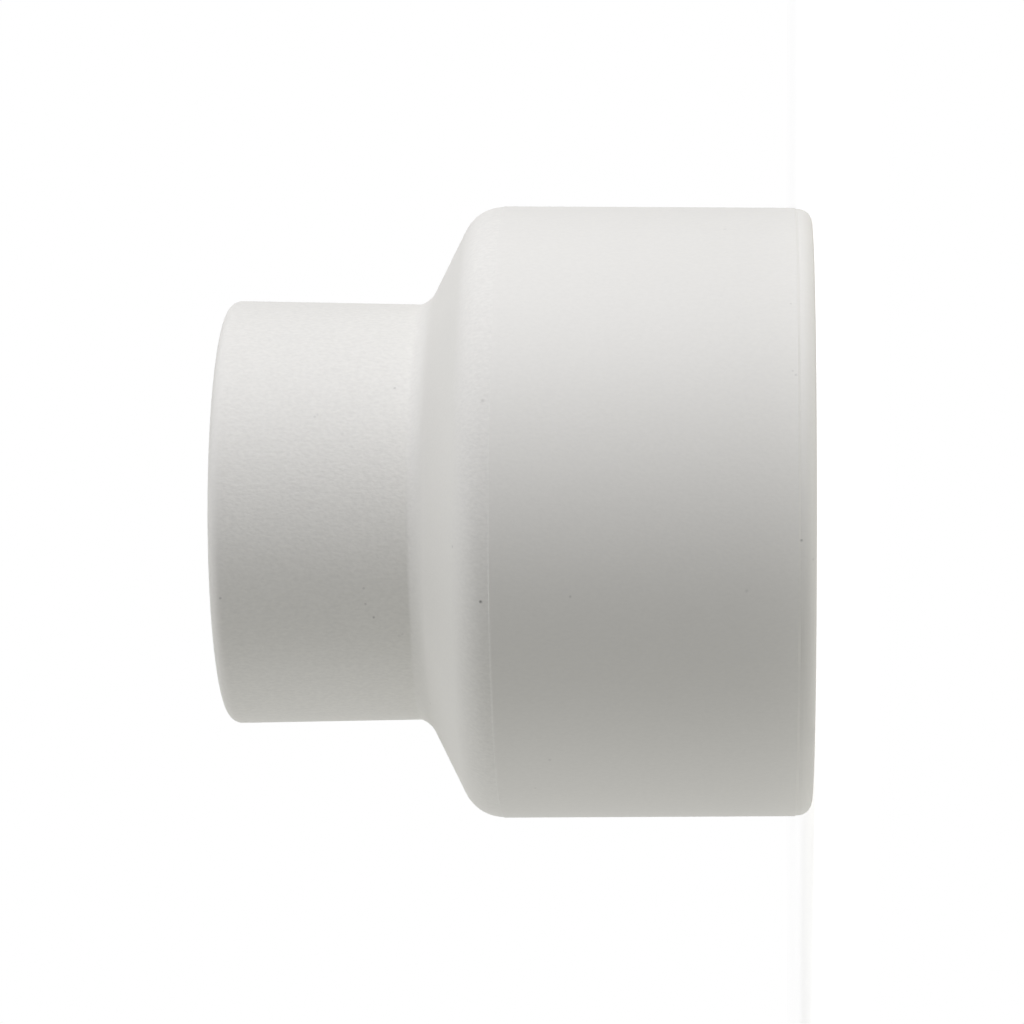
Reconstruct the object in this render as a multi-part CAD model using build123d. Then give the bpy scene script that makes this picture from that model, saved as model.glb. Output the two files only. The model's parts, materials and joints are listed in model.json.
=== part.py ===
from build123d import *

import math
import os

# Reducing adapter coupling: one white plastic moulding that joins a wide pipe to a narrow one.
# It stands on the mouth of its wide hub, with its axis along Z and the narrow collar on top.
# All lengths are in millimetres and all angles in degrees.

# Pipe sockets: nominal 3 inch in the hub and nominal 2 inch in the collar
large_socket_diameter = 89.0
large_socket_depth = 47.6
small_socket_diameter = 60.4
small_socket_depth = 29.4

# Wall thicknesses: the hub's at its mouth, the collar's at its neck, the cone's square to its face
hub_wall = 5.5
collar_wall = 4.1
cone_wall = 6.0

# Outer form: the hub widens towards its shoulder, and the collar widens towards its mouth
hub_draft_angle = 0.5
collar_flare_angle = 1.2
cone_angle = 63.3  # from the axis to the cone's face
shoulder_web = 7.0  # from the wide pipe's stop up to the shoulder corner
neck_web = 3.8  # from the neck corner up to the narrow pipe's stop
neck_edge_rise = 1.4  # from the neck corner up to the edge where the collar's straight wall starts
neck_edge_angle = 27.0  # from the axis to the foot of the cone, where it meets that edge

# Pipe stops: ledges that the pipe ends rest against
large_stop_width = 3.5
small_stop_width = 3.0

# Lead-in bevel at both mouths, so that the pipe starts easily
lead_in_width = 0.9
lead_in_depth = 1.6

# Rounds
hub_rim_round = 2.5
collar_rim_round = 2.0
shoulder_round = 6.6
cone_foot_round = 6.0
waterway_round = 3.0
stop_round = 0.4


def slope(angle):
    """Rise for each unit of run, at an angle given in degrees."""
    return math.tan(math.radians(angle))


# Radii, from the pipe sockets outwards
large_socket_radius = large_socket_diameter / 2
small_socket_radius = small_socket_diameter / 2
hub_mouth_radius = large_socket_radius + hub_wall
neck_radius = small_socket_radius + collar_wall

# Heights, and the radii that follow from the tapers
shoulder_height = large_socket_depth + shoulder_web
shoulder_radius = hub_mouth_radius + shoulder_height * slope(hub_draft_angle)
neck_height = shoulder_height + (shoulder_radius - neck_radius) / slope(cone_angle)
small_stop_height = neck_height + neck_web
overall_height = small_stop_height + small_socket_depth
collar_mouth_radius = neck_radius + (overall_height - neck_height) * slope(collar_flare_angle)
neck_edge_height = neck_height + neck_edge_rise
neck_edge_radius = neck_radius + neck_edge_rise * slope(collar_flare_angle)

# Foot of the cone: where its face, going up, turns towards the neck edge
foot_slope_change = slope(cone_angle) - slope(neck_edge_angle)
cone_foot_height = neck_edge_height - (
    neck_edge_radius - neck_radius + neck_edge_rise * slope(cone_angle)
) / foot_slope_change
cone_foot_radius = neck_edge_radius + (neck_edge_height - cone_foot_height) * slope(neck_edge_angle)

# Waterway between the two stops
large_waterway_radius = large_socket_radius - large_stop_width
small_waterway_radius = small_socket_radius - small_stop_width


def waterway_cone_height(radius):
    """Height at which the inner cone, parallel to the outer one, has this radius."""
    inset_height = shoulder_height - cone_wall * math.sin(math.radians(cone_angle))
    inset_radius = shoulder_radius - cone_wall * math.cos(math.radians(cone_angle))
    return inset_height + (inset_radius - radius) / slope(cone_angle)


def outer_corners():
    """Corners of the outside as (radius, height, round), from the hub's rim up to the collar's."""
    return [
        (hub_mouth_radius, 0, hub_rim_round),
        (shoulder_radius, shoulder_height, shoulder_round),
        (cone_foot_radius, cone_foot_height, cone_foot_round),
        (neck_edge_radius, neck_edge_height, 0),
        (collar_mouth_radius, overall_height, collar_rim_round),
    ]


def inner_corners():
    """Corners of the inside as (radius, height, round), from the collar's rim down to the hub's."""
    return [
        (small_socket_radius + lead_in_width, overall_height, 0),
        (small_socket_radius, overall_height - lead_in_depth, 0),
        (small_socket_radius, small_stop_height, stop_round),
        (small_waterway_radius, small_stop_height, stop_round),
        (small_waterway_radius, waterway_cone_height(small_waterway_radius), waterway_round),
        (large_waterway_radius, waterway_cone_height(large_waterway_radius), waterway_round),
        (large_waterway_radius, large_socket_depth, stop_round),
        (large_socket_radius, large_socket_depth, stop_round),
        (large_socket_radius, lead_in_depth, 0),
        (large_socket_radius + lead_in_width, 0, 0),
    ]


def fitted_rounds(points, wanted_rounds):
    """Each corner's round, smaller than wanted only where the edges beside it are too short."""
    usable_share = 0.95  # of an edge, so that a straight stretch is always left
    count = len(points)
    edges = [points[(i + 1) % count] - points[i] for i in range(count)]
    half_turns = [edges[i - 1].get_angle(edges[i]) / 2 for i in range(count)]
    cut_backs = [wanted * slope(turn) for wanted, turn in zip(wanted_rounds, half_turns)]
    shares = []
    for i in range(count):
        needed = cut_backs[i] + cut_backs[(i + 1) % count]
        room = edges[i].length * usable_share
        shares.append(min(1, room / needed) if needed else 1)
    return [wanted_rounds[i] * min(shares[i - 1], shares[i]) for i in range(count)]


def coupling_body():
    """The moulding: half of its section, turned about the pipe axis."""
    corners = outer_corners() + inner_corners()
    points = [Vector(radius, height) for radius, height, _ in corners]
    rounds = fitted_rounds(points, [wanted for _, _, wanted in corners])
    with BuildPart() as body:
        with BuildSketch(Plane.XZ):
            with BuildLine():
                FilletPolyline(*points, radius=rounds, close=True)
            make_face()
        revolve(axis=Axis.Z)
    return body.part


os.makedirs("parts", exist_ok=True)
export_step(coupling_body(), "parts/coupling_body.step")
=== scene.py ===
import json
import math

import bpy
from mathutils import Matrix, Vector

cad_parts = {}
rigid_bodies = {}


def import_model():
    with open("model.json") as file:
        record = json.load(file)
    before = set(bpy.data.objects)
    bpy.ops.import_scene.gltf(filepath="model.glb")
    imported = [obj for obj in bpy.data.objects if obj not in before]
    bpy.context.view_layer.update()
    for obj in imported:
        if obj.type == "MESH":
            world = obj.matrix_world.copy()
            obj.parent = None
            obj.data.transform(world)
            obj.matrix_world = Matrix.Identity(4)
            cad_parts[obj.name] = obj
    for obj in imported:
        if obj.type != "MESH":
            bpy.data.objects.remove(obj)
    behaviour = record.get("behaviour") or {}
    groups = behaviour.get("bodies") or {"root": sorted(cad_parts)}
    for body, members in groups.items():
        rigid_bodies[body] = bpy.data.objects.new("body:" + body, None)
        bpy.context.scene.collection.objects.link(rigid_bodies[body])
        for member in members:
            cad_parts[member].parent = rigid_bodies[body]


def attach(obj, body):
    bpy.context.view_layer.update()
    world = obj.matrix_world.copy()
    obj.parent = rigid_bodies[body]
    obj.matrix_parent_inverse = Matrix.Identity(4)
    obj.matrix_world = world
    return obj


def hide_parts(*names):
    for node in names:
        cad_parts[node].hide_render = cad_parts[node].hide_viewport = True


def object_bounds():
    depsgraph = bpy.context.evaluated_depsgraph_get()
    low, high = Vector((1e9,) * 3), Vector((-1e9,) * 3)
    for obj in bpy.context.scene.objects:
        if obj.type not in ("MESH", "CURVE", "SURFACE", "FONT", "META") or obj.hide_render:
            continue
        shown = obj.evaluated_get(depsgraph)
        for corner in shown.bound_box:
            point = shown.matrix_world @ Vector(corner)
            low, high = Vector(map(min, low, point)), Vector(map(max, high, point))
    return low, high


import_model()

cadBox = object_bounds()
millimetre = 0.001
noiseMiddle = 0.5  # mean of Blender's noise
scene = bpy.context.scene


# Small helpers for node trees
def addNode(tree, kind, inputs=None, **settings):
    node = tree.nodes.new(kind)
    for key, value in settings.items():
        setattr(node, key, value)
    for key, value in (inputs or {}).items():
        if isinstance(value, bpy.types.NodeSocket):
            tree.links.new(value, node.inputs[key])
        else:
            node.inputs[key].default_value = value
    return node


def mathNode(tree, operation, first, second=0.0, clamp=False):
    node = addNode(tree, "ShaderNodeMath", {0: first, 1: second}, operation=operation, use_clamp=clamp)
    return node.outputs[0]


# The coupling: half of its section, drawn upright and then turned about the pipe axis.
# Lengths in millimetres, angles in degrees
coupling = {
    "largeSocketRadius": 44.5,
    "largeSocketDepth": 47.6,
    "smallSocketRadius": 30.2,
    "smallSocketDepth": 29.4,
    "hubWall": 5.5,
    "collarWall": 4.1,
    "coneWall": 6.0,
    "hubDraftAngle": 0.5,
    "collarFlareAngle": 1.2,
    "coneAngle": 63.3,
    "shoulderWeb": 7.0,
    "neckWeb": 3.8,
    "neckEdgeRise": 1.4,
    "neckEdgeAngle": 24.0,
    "largeStopWidth": 3.5,
    "smallStopWidth": 3.0,
    "leadInWidth": 0.9,
    "leadInDepth": 1.6,
    "hubRimRound": 2.35,
    "collarRimRound": 2.0,
    "shoulderRound": 6.6,
    "coneFootRound": 4.7,
    "neckEdgeBreak": 1.2,
    "waterwayRound": 3.0,
    "stopRound": 0.4,
    "edgeBreak": 0.15,  # on the edges that are sharp in the solid
    "seamHeight": 50.4,  # witness line of the mould, where the shoulder starts
    "seamStep": 0.08,  # the hub stands this much proud of the shoulder
    "seamRun": 0.18,
    "seamBreak": 0.03,
    "shoulderBandAngle": 7.0,  # slope of the shoulder beside the seam
    "rimLineHeight": 2.45,  # the second witness line, where the rim's round starts
    "rimLineStep": 0.13,
    "rimLineRun": 0.4,
    "rimLineBreak": 0.4,
    "rimBandAngle": 6.0,
    # both lines are uneven: they sink by up to this much, within this reach along the axis
    "rimLineWander": 0.12,
    "rimLineReach": 0.4,
    "seamWander": 0.03,
    "seamReach": 0.1,
    "wanderScale": 90.0,  # waves to the metre
    "wanderDetail": 2.0,
    "wanderRange": (0.35, 0.65),  # of the noise, from fully sunk to not at all
    "wanderSeed": 4.0,
    "turningSteps": 272,
    "arcStep": 6.0,  # degrees of a round between two points
    "fewestArcParts": 3,
    "nearestPoint": 0.1,  # spacing of points beside a round
    "pointGrowth": 2.2,
    "longestRun": 2.4,
}


def slope(angle):
    return math.tan(math.radians(angle))


def sectionCorners(c):
    # (radius, height, round), up the outside and down the inside
    hubMouth = c["largeSocketRadius"] + c["hubWall"]
    neck = c["smallSocketRadius"] + c["collarWall"]
    shoulderHeight = c["largeSocketDepth"] + c["shoulderWeb"]
    draft = slope(c["hubDraftAngle"])
    shoulder = hubMouth + shoulderHeight * draft
    cone = slope(c["coneAngle"])
    neckHeight = shoulderHeight + (shoulder - neck) / cone
    smallStopHeight = neckHeight + c["neckWeb"]
    topHeight = smallStopHeight + c["smallSocketDepth"]
    flare = slope(c["collarFlareAngle"])
    edgeHeight = neckHeight + c["neckEdgeRise"]
    edge = neck + c["neckEdgeRise"] * flare
    edgeSlope = slope(c["neckEdgeAngle"])
    footRise = (edge - neck + c["neckEdgeRise"] * cone) / (cone - edgeSlope)
    collarMouth = neck + (topHeight - neckHeight) * flare
    largeWaterway = c["largeSocketRadius"] - c["largeStopWidth"]
    smallWaterway = c["smallSocketRadius"] - c["smallStopWidth"]

    def hubRadius(height):
        return hubMouth + height * draft

    def waterwayHeight(radius):
        insetHeight = shoulderHeight - c["coneWall"] * math.sin(math.radians(c["coneAngle"]))
        insetRadius = shoulder - c["coneWall"] * math.cos(math.radians(c["coneAngle"]))
        return insetHeight + (insetRadius - radius) / cone

    rimFoot = c["rimLineHeight"]
    rimLine = rimFoot + c["rimLineRun"]
    rimFootRadius = hubRadius(rimFoot) - c["rimLineStep"]
    seamLine = c["seamHeight"]
    seamFoot = seamLine + c["seamRun"]
    seamFootRadius = hubRadius(seamFoot) - c["seamStep"]
    # where the shoulder's band, going up from the seam, would meet the cone
    band = slope(c["shoulderBandAngle"])
    bandTop = (shoulder + shoulderHeight * cone - seamFootRadius - seamFoot * band) / (cone - band)
    return [
        (rimFootRadius - rimFoot * slope(c["rimBandAngle"]), 0, c["hubRimRound"]),
        (rimFootRadius, rimFoot, c["rimLineBreak"]),
        (hubRadius(rimLine), rimLine, c["rimLineBreak"]),
        (hubRadius(seamLine), seamLine, c["seamBreak"]),
        (seamFootRadius, seamFoot, c["seamBreak"]),
        (seamFootRadius - (bandTop - seamFoot) * band, bandTop, c["shoulderRound"]),
        (edge + footRise * edgeSlope, edgeHeight - footRise, c["coneFootRound"]),
        (edge, edgeHeight, c["neckEdgeBreak"]),
        (collarMouth, topHeight, c["collarRimRound"]),
        (c["smallSocketRadius"] + c["leadInWidth"], topHeight, c["edgeBreak"]),
        (c["smallSocketRadius"], topHeight - c["leadInDepth"], c["edgeBreak"]),
        (c["smallSocketRadius"], smallStopHeight, c["stopRound"]),
        (smallWaterway, smallStopHeight, c["stopRound"]),
        (smallWaterway, waterwayHeight(smallWaterway), c["waterwayRound"]),
        (largeWaterway, waterwayHeight(largeWaterway), c["waterwayRound"]),
        (largeWaterway, c["largeSocketDepth"], c["stopRound"]),
        (c["largeSocketRadius"], c["largeSocketDepth"], c["stopRound"]),
        (c["largeSocketRadius"], c["leadInDepth"], c["edgeBreak"]),
        (c["largeSocketRadius"] + c["leadInWidth"], 0, c["edgeBreak"]),
    ]


def runStops(length, c):
    # places along a straight run: close together beside its ends, wider apart in the middle
    stops = []
    step = place = c["nearestPoint"]
    while step < c["longestRun"] and place < length / 2 - step:
        stops.append(place)
        step *= c["pointGrowth"]
        place += step
    reached = stops[-1] if stops else 0
    middle = length - 2 * reached
    parts = max(1, math.ceil(middle / c["longestRun"]))
    between = [reached + middle * i / parts for i in range(1, parts)]
    return stops + between + [length - stop for stop in reversed(stops)]


def sectionLine(c):
    # points (radius, height) round the whole section, rounds as arcs
    corners = sectionCorners(c)
    count = len(corners)
    places = [Vector(corner[:2]) for corner in corners]
    arcs = []
    for i, corner in enumerate(corners):
        here = places[i]
        back = (places[i - 1] - here).normalized()
        ahead = (places[(i + 1) % count] - here).normalized()
        half = back.angle(ahead) / 2
        centre = here + (back + ahead).normalized() * corner[2] / math.sin(half)
        start = here + back * corner[2] / math.tan(half) - centre
        sweep = start.angle_signed(here + ahead * corner[2] / math.tan(half) - centre)
        parts = max(c["fewestArcParts"], math.ceil(math.degrees(abs(sweep)) / c["arcStep"]))
        turns = [Matrix.Rotation(-sweep * k / parts, 2) for k in range(parts + 1)]
        arcs.append([centre + turn @ start for turn in turns])
    line = []
    for i, arc in enumerate(arcs):
        line += [tuple(point) for point in arc]
        run = arcs[(i + 1) % count][0] - arc[-1]
        for stop in runStops(run.length, c):
            line.append(tuple(arc[-1] + run.normalized() * stop))
    return line


def wanderDepth(radius, height, c):
    # how deep a point of the outside may sink at the two witness lines
    if radius < c["largeSocketRadius"] + c["hubWall"] / 2:
        return 0.0
    lines = [
        (c["rimLineHeight"], c["rimLineReach"], c["rimLineWander"]),
        (c["seamHeight"], c["seamReach"], c["seamWander"]),
    ]
    return max(depth * max(0, 1 - abs(height - middle) / reach) for middle, reach, depth in lines)


def turnedMouldingTree(c):
    tree = bpy.data.node_groups.new("turnedMoulding", "GeometryNodeTree")
    sockets = [
        ("Section", "INPUT", "NodeSocketGeometry"),
        ("Turning Steps", "INPUT", "NodeSocketInt"),
        ("Pitch Radius", "INPUT", "NodeSocketFloat"),
        ("Wander Scale", "INPUT", "NodeSocketFloat"),
        ("Wander Seed", "INPUT", "NodeSocketFloat"),
        ("Finish", "INPUT", "NodeSocketMaterial"),
        ("Moulding", "OUTPUT", "NodeSocketGeometry"),
    ]
    for name, direction, kind in sockets:
        tree.interface.new_socket(name=name, in_out=direction, socket_type=kind)
    given = addNode(tree, "NodeGroupInput").outputs

    # the section turns into a profile that a circle round the pipe axis carries
    profile = addNode(tree, "GeometryNodeMeshToCurve", {"Mesh": given["Section"]})
    inward = addNode(tree, "ShaderNodeMath", {0: given["Pitch Radius"], 1: -1.0}, operation="MULTIPLY")
    shift = addNode(tree, "ShaderNodeCombineXYZ", {"X": inward.outputs[0]})
    laid = addNode(tree, "GeometryNodeTransform", {
        "Geometry": profile.outputs["Curve"],
        "Translation": shift.outputs[0],
        "Rotation": (math.pi / 2, 0, 0),
    })
    circle = addNode(tree, "GeometryNodeCurvePrimitiveCircle", {
        "Resolution": given["Turning Steps"],
        "Radius": given["Pitch Radius"],
    })
    turned = addNode(tree, "GeometryNodeCurveToMesh", {
        "Curve": circle.outputs["Curve"],
        "Profile Curve": laid.outputs["Geometry"],
    })

    # the two witness lines sink in more or less from place to place
    depth = addNode(tree, "GeometryNodeInputNamedAttribute", {"Name": "wanderDepth"}, data_type="FLOAT")
    position = addNode(tree, "GeometryNodeInputPosition")
    wander = addNode(tree, "ShaderNodeTexNoise", {
        "Vector": position.outputs[0],
        "W": given["Wander Seed"],
        "Scale": given["Wander Scale"],
        "Detail": c["wanderDetail"],
    }, noise_dimensions="4D")
    sunk, level = c["wanderRange"]
    sinking = addNode(tree, "ShaderNodeMapRange", {
        "Value": wander.outputs[0], "From Min": sunk, "From Max": level, "To Min": -1.0, "To Max": 0.0,
    })
    amount = addNode(tree, "ShaderNodeMath", {
        0: sinking.outputs["Result"],
        1: depth.outputs["Attribute"],
    }, operation="MULTIPLY")
    flat = addNode(tree, "ShaderNodeVectorMath", {
        0: position.outputs[0],
        1: (1, 1, 0),
    }, operation="MULTIPLY")
    outward = addNode(tree, "ShaderNodeVectorMath", {0: flat.outputs[0]}, operation="NORMALIZE")
    offset = addNode(tree, "ShaderNodeVectorMath", {
        0: outward.outputs[0],
        "Scale": amount.outputs[0],
    }, operation="SCALE")
    moved = addNode(tree, "GeometryNodeSetPosition", {
        "Geometry": turned.outputs["Mesh"],
        "Offset": offset.outputs[0],
    })
    # the swept faces look inward, so they are turned
    facing = addNode(tree, "GeometryNodeFlipFaces", {"Mesh": moved.outputs["Geometry"]})
    smooth = addNode(tree, "GeometryNodeSetShadeSmooth", {"Geometry": facing.outputs["Mesh"]})
    real = addNode(tree, "GeometryNodeRealizeInstances", {"Geometry": smooth.outputs["Geometry"]})
    finished = addNode(tree, "GeometryNodeSetMaterial", {
        "Geometry": real.outputs["Geometry"],
        "Material": given["Finish"],
    })
    addNode(tree, "NodeGroupOutput", {"Moulding": finished.outputs["Geometry"]})
    return tree


def makeCoupling(c, finish):
    line = sectionLine(c)
    count = len(line)
    mesh = bpy.data.meshes.new("couplingSection")
    points = [(radius * millimetre, 0, height * millimetre) for radius, height in line]
    mesh.from_pydata(points, [(i, (i + 1) % count) for i in range(count)], [])
    depth = mesh.attributes.new("wanderDepth", "FLOAT", "POINT")
    depth.data.foreach_set("value", [wanderDepth(*point, c) * millimetre for point in line])
    body = bpy.data.objects.new("couplingBody", mesh)
    scene.collection.objects.link(body)

    tree = turnedMouldingTree(c)
    modifier = body.modifiers.new("turnedMoulding", "NODES")
    modifier.node_group = tree
    wanted = {
        "Turning Steps": c["turningSteps"],
        "Pitch Radius": (c["smallSocketRadius"] + c["collarWall"]) * millimetre,
        "Wander Scale": c["wanderScale"],
        "Wander Seed": c["wanderSeed"],
        "Finish": finish,
    }
    for item in tree.interface.items_tree:
        if item.in_out == "INPUT" and item.name in wanted:
            modifier[item.identifier] = wanted[item.name]
    body.update_tag()
    depsgraph = bpy.context.evaluated_depsgraph_get()
    turned = bpy.data.meshes.new_from_object(body.evaluated_get(depsgraph), depsgraph=depsgraph)
    body.modifiers.remove(modifier)
    body.data = turned
    bpy.data.meshes.remove(mesh)
    turned.name = "couplingBody"
    print("coupling body:", len(turned.vertices), "points and", len(turned.polygons), "faces")
    return body


# White PVC with a satin face: sandy grain from the mould with painted shade in its troughs, faint mottling
# and specks of dirt.
# Lengths in millimetres, scales in waves to the metre
whitePvc = {
    "colour": (0.80, 0.79, 0.742),
    "roughness": 0.68,
    "roughnessSpread": 0.06,
    "ior": 1.53,
    "mottle": 0.012,
    "mottleScale": 60.0,
    "mottleDetail": 3.0,
    "mottleRange": (0.25, 0.75),  # of the noise
    "grainScale": 2100.0,
    "grainDetail": 1.0,
    "grainStretch": 1.6,  # the grain is this much longer along the axis than across it
    "grainDepth": 0.045,  # from trough to crest
    "grainPaintedShade": 0.14,  # painted shade: how much darker the colour is in a trough of the grain than on a crest
    # (height, share of the grain's depth)
    "grainByHeight": [
        (0.0, 0.25), (2.4, 0.25), (2.9, 0.4), (50.3, 0.4), (50.6, 1.0), (53.5, 1.0),
        (56.5, 0.3), (62.0, 0.3), (64.4, 1.0), (93.5, 1.0), (95.0, 0.5),
    ],
    # (height, degrees from the camera's side round to +X, width, darkness)
    "specks": [
        (51.75, -16, 0.75, 0.71), (2.4, -5, 0.7, 0.43), (94.0, -23, 0.65, 0.33), (69.8, -29, 0.65, 0.38),
        (71.0, -25, 0.65, 0.28), (71.2, -20.5, 0.7, 0.19), (66.6, 35, 0.7, 0.24), (79.1, 25.8, 0.7, 0.13),
        (78.7, 26.4, 0.7, 0.11), (74.6, 21, 1, 0.095), (65.9, -35, 0.85, 0.095), (65.4, -34.4, 0.7, 0.11),
        (56.2, -6.5, 0.7, 0.19), (51.5, 20, 1, 0.14), (61.5, -57, 0.7, 0.24), (37.9, -15, 0.7, 0.21),
        (10.8, -14, 0.85, 0.14), (0.6, -8.5, 0.85, 0.11), (41.8, -51, 0.85, 0.14), (44.4, -61, 0.55, 0.19),
        (14.2, 64.5, 0.85, 0.095), (3.2, 25, 0.7, 0.17), (3.7, 25.8, 0.55, 0.13), (3.9, 40.5, 0.55, 0.14),
    ],
    "speckRagged": 0.25,
    "speckRaggedScale": 5000.0,
    "farSpeckScale": 170.0,  # loose specks on the side away from the camera
    "farSpeckStart": 10.0,  # behind the axis, where they reach their full darkness
    "farSpeckWidth": 0.4,
    "farSpeckDarkness": 0.25,
}


def outerRadius(line, height):
    # largest radius of the section at this height
    radii = []
    for (startRadius, start), (endRadius, end) in zip(line, line[1:]):
        if min(start, end) <= height <= max(start, end) and start != end:
            radii.append(startRadius + (endRadius - startRadius) * (height - start) / (end - start))
    return max(radii)


def speckTone(tree, place, p, line):
    # share of the colour that the specks leave
    noise = addNode(tree, "ShaderNodeTexNoise", {"Vector": place, "Scale": p["speckRaggedScale"]})
    centred = addNode(tree, "ShaderNodeVectorMath", {
        0: noise.outputs["Color"], 1: (noiseMiddle,) * 3,
    }, operation="SUBTRACT")
    ragged = addNode(tree, "ShaderNodeVectorMath", {
        0: centred.outputs["Vector"], 1: (p["speckRagged"] * millimetre,) * 3, 2: place,
    }, operation="MULTIPLY_ADD").outputs["Vector"]
    tone = 1.0
    for height, angle, width, darkness in p["specks"]:
        radius, turn = outerRadius(line, height), math.radians(angle)
        centre = Vector((radius * math.sin(turn), -radius * math.cos(turn), height)) * millimetre
        away = addNode(tree, "ShaderNodeVectorMath", {0: ragged, 1: centre}, operation="DISTANCE")
        left = addNode(tree, "ShaderNodeMapRange", {
            "Value": away.outputs["Value"], "From Max": width / 2 * millimetre, "To Min": 1 - darkness,
        }, interpolation_type="SMOOTHSTEP")
        tone = mathNode(tree, "MULTIPLY", tone, left.outputs["Result"])

    cells = addNode(tree, "ShaderNodeTexVoronoi", {"Vector": ragged, "Scale": p["farSpeckScale"]})
    depth = addNode(tree, "ShaderNodeSeparateXYZ", {0: place}).outputs["Y"]
    far = addNode(tree, "ShaderNodeMapRange", {
        "Value": depth, "From Max": p["farSpeckStart"] * millimetre,
        "To Min": 1.0, "To Max": 1 - p["farSpeckDarkness"],
    })
    left = addNode(tree, "ShaderNodeMapRange", {
        "Value": cells.outputs["Distance"],
        "From Max": p["farSpeckWidth"] / 2 * millimetre * p["farSpeckScale"],
        "To Min": far.outputs["Result"],
    }, interpolation_type="SMOOTHSTEP")
    return mathNode(tree, "MULTIPLY", tone, left.outputs["Result"])


def pvcMaterial(p, c):
    material = bpy.data.materials.new("whitePvc")
    material.use_nodes = True
    tree = material.node_tree
    tree.nodes.clear()
    line = sectionLine(c)
    topHeight = max(height for _, height in line)
    place = addNode(tree, "ShaderNodeTexCoord").outputs["Object"]
    axes = addNode(tree, "ShaderNodeSeparateXYZ", {0: place})
    share = mathNode(tree, "DIVIDE", axes.outputs["Z"], topHeight * millimetre)
    ramp = addNode(tree, "ShaderNodeValToRGB", {"Fac": share})
    stops = ramp.color_ramp.elements
    while len(stops) < len(p["grainByHeight"]):
        stops.new(0.5)  # each gets its place below
    for stop, (height, strength) in zip(stops, p["grainByHeight"]):
        stop.position = height / topHeight
        stop.color = (strength, strength, strength, 1)

    mottle = addNode(tree, "ShaderNodeTexNoise", {
        "Vector": place, "Scale": p["mottleScale"], "Detail": p["mottleDetail"],
    })
    lowMottle, highMottle = p["mottleRange"]
    tone = addNode(tree, "ShaderNodeMapRange", {
        "Value": mottle.outputs["Fac"], "From Min": lowMottle, "From Max": highMottle,
        "To Min": 1 - p["mottle"], "To Max": 1 + p["mottle"],
    })
    drawn = addNode(tree, "ShaderNodeVectorMath", {
        0: place, 1: (1, 1, 1 / p["grainStretch"]),
    }, operation="MULTIPLY")
    grain = addNode(tree, "ShaderNodeTexNoise", {
        "Vector": drawn.outputs["Vector"], "Scale": p["grainScale"], "Detail": p["grainDetail"],
    })
    wave = mathNode(tree, "SUBTRACT", grain.outputs["Fac"], noiseMiddle)
    crest = mathNode(tree, "MULTIPLY", wave, ramp.outputs["Color"])
    # painted shade in the grain's troughs, added to the random mottling of the colour
    mottleAndPaintedShade = addNode(tree, "ShaderNodeMath", {
        0: crest, 1: p["grainPaintedShade"], 2: tone.outputs["Result"],
    }, operation="MULTIPLY_ADD")
    speckled = mathNode(tree, "MULTIPLY", mottleAndPaintedShade.outputs[0], speckTone(tree, place, p, line))
    colour = addNode(tree, "ShaderNodeVectorMath", {
        0: p["colour"], "Scale": speckled,
    }, operation="SCALE")
    sheen = addNode(tree, "ShaderNodeMapRange", {
        "Value": mottle.outputs["Fac"], "From Min": lowMottle, "From Max": highMottle,
        "To Min": p["roughness"] - p["roughnessSpread"], "To Max": p["roughness"] + p["roughnessSpread"],
    })
    height = mathNode(tree, "MULTIPLY", crest, p["grainDepth"] * millimetre)
    bump = addNode(tree, "ShaderNodeBump", {"Strength": 1.0, "Distance": 1.0, "Height": height})
    shader = addNode(tree, "ShaderNodeBsdfPrincipled", {
        "Base Color": colour.outputs["Vector"],
        "Roughness": sheen.outputs["Result"],
        "IOR": p["ior"],
        "Normal": bump.outputs["Normal"],
    })
    addNode(tree, "ShaderNodeOutputMaterial", {"Surface": shader.outputs["BSDF"]})
    print("white PVC:", len(p["specks"]), "specks")
    return material


pvcFinish = pvcMaterial(whitePvc, coupling)
couplingBody = makeCoupling(coupling, pvcFinish)
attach(couplingBody, "root")
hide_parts("coupling_body")


# Studio: a pale table, soft lamps and a white surround. Lengths in metres
studio = {
    "tableSize": 8.0,
    "tableColour": (0.96, 0.96, 0.948, 1),
    "tableLift": 0.48,  # added so that the unshaded table is white
    "tableGlow": 0.495,  # light that the table gives back to the part
    "rimGlow": 0.65,  # the same close beside the part's rim
    "rimReach": (0.053, 0.058),  # from the axis, where the one glow fades into the other
    "glowColour": (1, 0.995, 0.98, 1),
    "tableNear": 0.12,  # from the axis to where the table starts to fade to white
    "tableFar": 0.36,  # and to where it is all white
}


def showsSurround(tree):
    # what the eye sees directly, mirrored or through glass
    ray = addNode(tree, "ShaderNodeLightPath").outputs
    seen = mathNode(tree, "ADD", ray["Is Camera Ray"], ray["Is Glossy Ray"], clamp=True)
    return mathNode(tree, "ADD", seen, ray["Is Transmission Ray"], clamp=True)


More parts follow.
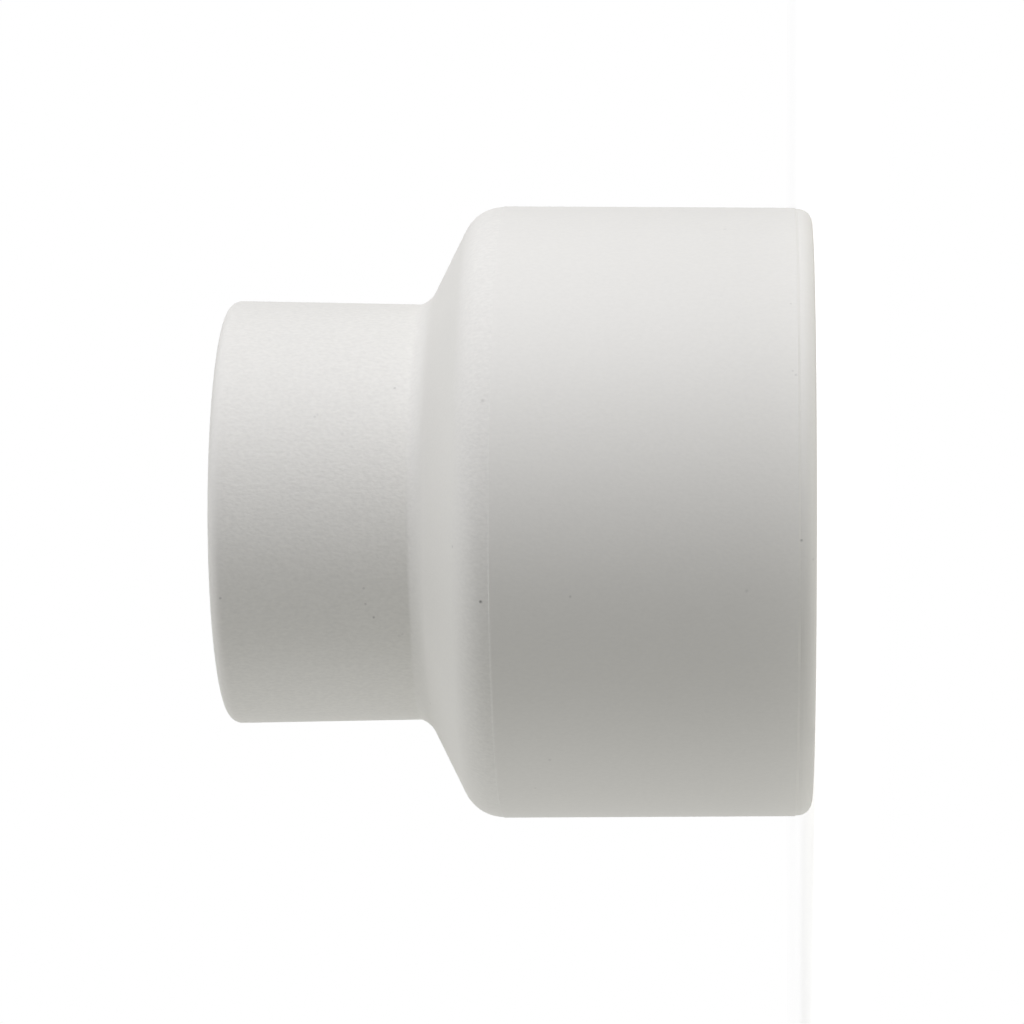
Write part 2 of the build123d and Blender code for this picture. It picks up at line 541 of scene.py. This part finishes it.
def makeTable(s):
    half = s["tableSize"] / 2
    mesh = bpy.data.meshes.new("table")
    corners = [(-half, -half, 0), (half, -half, 0), (half, half, 0), (-half, half, 0)]
    mesh.from_pydata(corners, [], [(0, 1, 2, 3)])
    table = bpy.data.objects.new("table", mesh)
    scene.collection.objects.link(table)
    material = bpy.data.materials.new("paleTable")
    material.use_nodes = True
    tree = material.node_tree
    tree.nodes.clear()
    place = addNode(tree, "ShaderNodeTexCoord").outputs["Object"]
    reach = addNode(tree, "ShaderNodeVectorMath", {0: place}, operation="LENGTH")
    far = addNode(tree, "ShaderNodeMapRange", {
        "Value": reach.outputs["Value"], "From Min": s["tableNear"], "From Max": s["tableFar"],
    }, interpolation_type="SMOOTHSTEP")
    matte = addNode(tree, "ShaderNodeBsdfDiffuse", {"Color": s["tableColour"]})
    lift = addNode(tree, "ShaderNodeEmission", {"Strength": s["tableLift"]})
    near = addNode(tree, "ShaderNodeAddShader", {0: matte.outputs[0], 1: lift.outputs[0]})
    white = addNode(tree, "ShaderNodeEmission", {"Strength": 1.0})
    seen = addNode(tree, "ShaderNodeMixShader", {
        "Fac": far.outputs["Result"], 1: near.outputs[0], 2: white.outputs[0],
    })
    # towards the part the table gives a plain glow
    rimInside, rimOutside = s["rimReach"]
    strength = addNode(tree, "ShaderNodeMapRange", {
        "Value": reach.outputs["Value"], "From Min": rimInside, "From Max": rimOutside,
        "To Min": s["rimGlow"], "To Max": s["tableGlow"],
    })
    glow = addNode(tree, "ShaderNodeEmission", {
        "Color": s["glowColour"], "Strength": strength.outputs["Result"],
    })
    whole = addNode(tree, "ShaderNodeMixShader", {
        "Fac": showsSurround(tree), 1: glow.outputs[0], 2: seen.outputs[0],
    })
    addNode(tree, "ShaderNodeOutputMaterial", {"Surface": whole.outputs[0]})
    mesh.materials.append(material)


def makeSurround():
    # white to the eye, and no light on the part
    world = bpy.data.worlds.new("surround")
    scene.world = world
    world.use_nodes = True
    tree = world.node_tree
    tree.nodes.clear()
    white = addNode(tree, "ShaderNodeBackground", {
        "Color": (1, 1, 1, 1), "Strength": showsSurround(tree),
    })
    addNode(tree, "ShaderNodeOutputWorld", {"Surface": white.outputs[0]})


# Each lamp: degrees from the camera's side round to +X, degrees above the part's middle,
# then metres and watts
lamps = {
    "keyLamp": {
        "round": 60, "above": 0, "away": 0.45, "wide": 0.225, "tall": 0.085,
        "watts": 0.995, "colour": (0.94, 0.94, 1),
    },
    "highLamp": {
        "round": 52, "above": 45, "away": 0.45, "wide": 0.225, "tall": 0.085,
        "watts": 0.51, "colour": (0.94, 0.94, 1),
    },
    "topLamp": {
        "round": 0, "above": 90, "away": 1.6, "wide": 1.4, "tall": 1.4,
        "watts": 9.55, "colour": (1, 1, 1),
    },
    "fillLamp": {
        "round": -95, "above": 22, "away": 1.6, "wide": 0.7, "tall": 0.7,
        "watts": 8.7, "colour": (1, 1, 1),
    },
}


def makeLamp(name, lamp, aim):
    light = bpy.data.lights.new(name, "AREA")
    light.shape = "RECTANGLE"
    light.size, light.size_y = lamp["wide"], lamp["tall"]
    light.energy = lamp["watts"]
    light.color = lamp["colour"]
    turn, rise = math.radians(lamp["round"]), math.radians(lamp["above"])
    way = Vector((math.sin(turn) * math.cos(rise), -math.cos(turn) * math.cos(rise), math.sin(rise)))
    holder = bpy.data.objects.new(name, light)
    holder.location = aim + way * lamp["away"]
    holder.rotation_euler = way.to_track_quat("Z", "Y").to_euler()
    holder.visible_camera = False
    scene.collection.objects.link(holder)


# Camera: close above the table and rolled, so that the pipe axis lies level in the picture.
# Lengths in millimetres, but for the range that it sees, in metres
camera = {
    "place": (0.0, -702.2, 12.9),
    "aim": (0.0, 0.0, 49.4),
    "pictureUp": (1.0, 0.0, 0.0),
    "focalPixels": 4250.7,
    "pictureWidth": 1024,
    "sensorWidth": 36.0,
    "nearest": 0.01,
    "farthest": 50.0,
}


def makeCamera(c):
    lens = bpy.data.cameras.new("pictureCamera")
    lens.sensor_width = c["sensorWidth"]
    lens.lens = c["focalPixels"] / c["pictureWidth"] * c["sensorWidth"]
    lens.clip_start, lens.clip_end = c["nearest"], c["farthest"]
    holder = bpy.data.objects.new("pictureCamera", lens)
    place = Vector(c["place"]) * millimetre
    forward = (Vector(c["aim"]) * millimetre - place).normalized()
    right = forward.cross(Vector(c["pictureUp"])).normalized()
    up = right.cross(forward)
    holder.matrix_world = Matrix.Translation(place) @ Matrix((right, up, -forward)).transposed().to_4x4()
    scene.collection.objects.link(holder)
    scene.camera = holder


makeTable(studio)
makeSurround()
middle = (cadBox[0] + cadBox[1]) / 2
for name, lamp in lamps.items():
    makeLamp(name, lamp, middle)
makeCamera(camera)
scene.view_settings.view_transform = "Standard"
print("studio: table, surround,", len(lamps), "lamps and camera")
